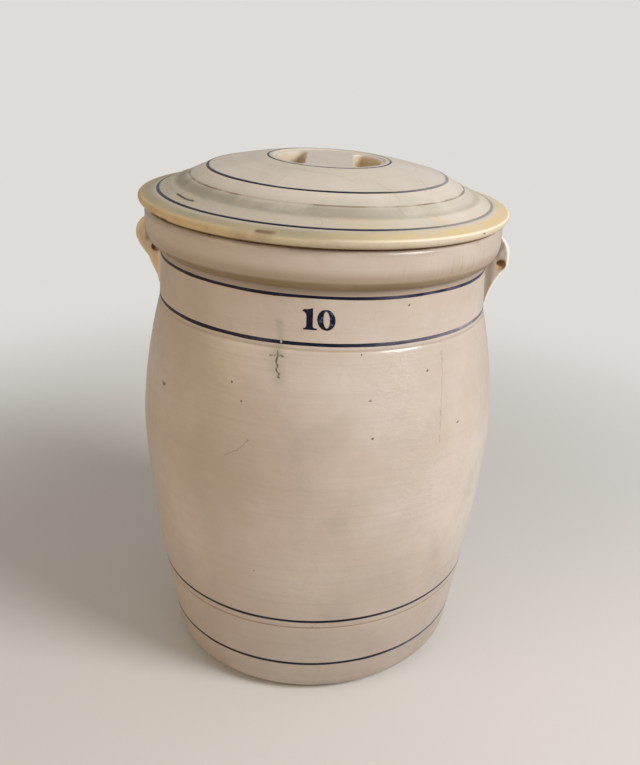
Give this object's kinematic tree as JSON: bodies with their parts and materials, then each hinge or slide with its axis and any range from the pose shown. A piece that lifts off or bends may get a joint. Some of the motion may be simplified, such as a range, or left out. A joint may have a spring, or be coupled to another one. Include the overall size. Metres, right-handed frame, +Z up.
{
  "type": "self-draining crock",
  "caption": "Bulbous stoneware jar with pierced side lugs, a domed lid with a sunken grip, a pierced false bottom over a sump, and a rear drain bung.",
  "frame": {"origin": "middle of the foot ring, on the surface that the jar stands on", "axes": "+Z up through the lid; -Y is the front with the painted numeral; the lugs lie on +X and -X; the drain outlet faces +Y"},
  "size_m": [0.3896, 0.379, 0.5433],
  "materials": {
    "glazed_stoneware": "opaque ivory glaze on stoneware, glossy, with blue bands",
    "lid_glaze": "opaque pale glaze on stoneware, glossy, stained at the rim",
    "plate_glaze": "thin opaque glaze on stoneware, satin",
    "bung_wood": "turned beech, worn"
  },
  "bodies": {
    "jar": {"crock_body": "glazed_stoneware", "ear_left": "glazed_stoneware", "ear_right": "glazed_stoneware"},
    "lid": {"lid": "lid_glaze"},
    "plate": {"drain_plate": "plate_glaze"},
    "bung": {"drain_bung": "bung_wood"}
  },
  "joints": [
    {"name": "lid_lift", "type": "slide", "parent": "jar", "child": "lid", "axis": [0, 0, 1], "range_m": [0, 0.7]},
    {"name": "plate_lift", "type": "slide", "parent": "jar", "child": "plate", "axis": [0, 0, 1], "range_m": [0, 0.49]},
    {"name": "bung_pull", "type": "slide", "parent": "jar", "child": "bung", "axis": [0, 1, 0], "range_m": [0, 0.08]}
  ],
  "couplings": [
    {"joint": "plate_lift", "follows": "lid_lift", "ratio": 0.68}
  ]
}
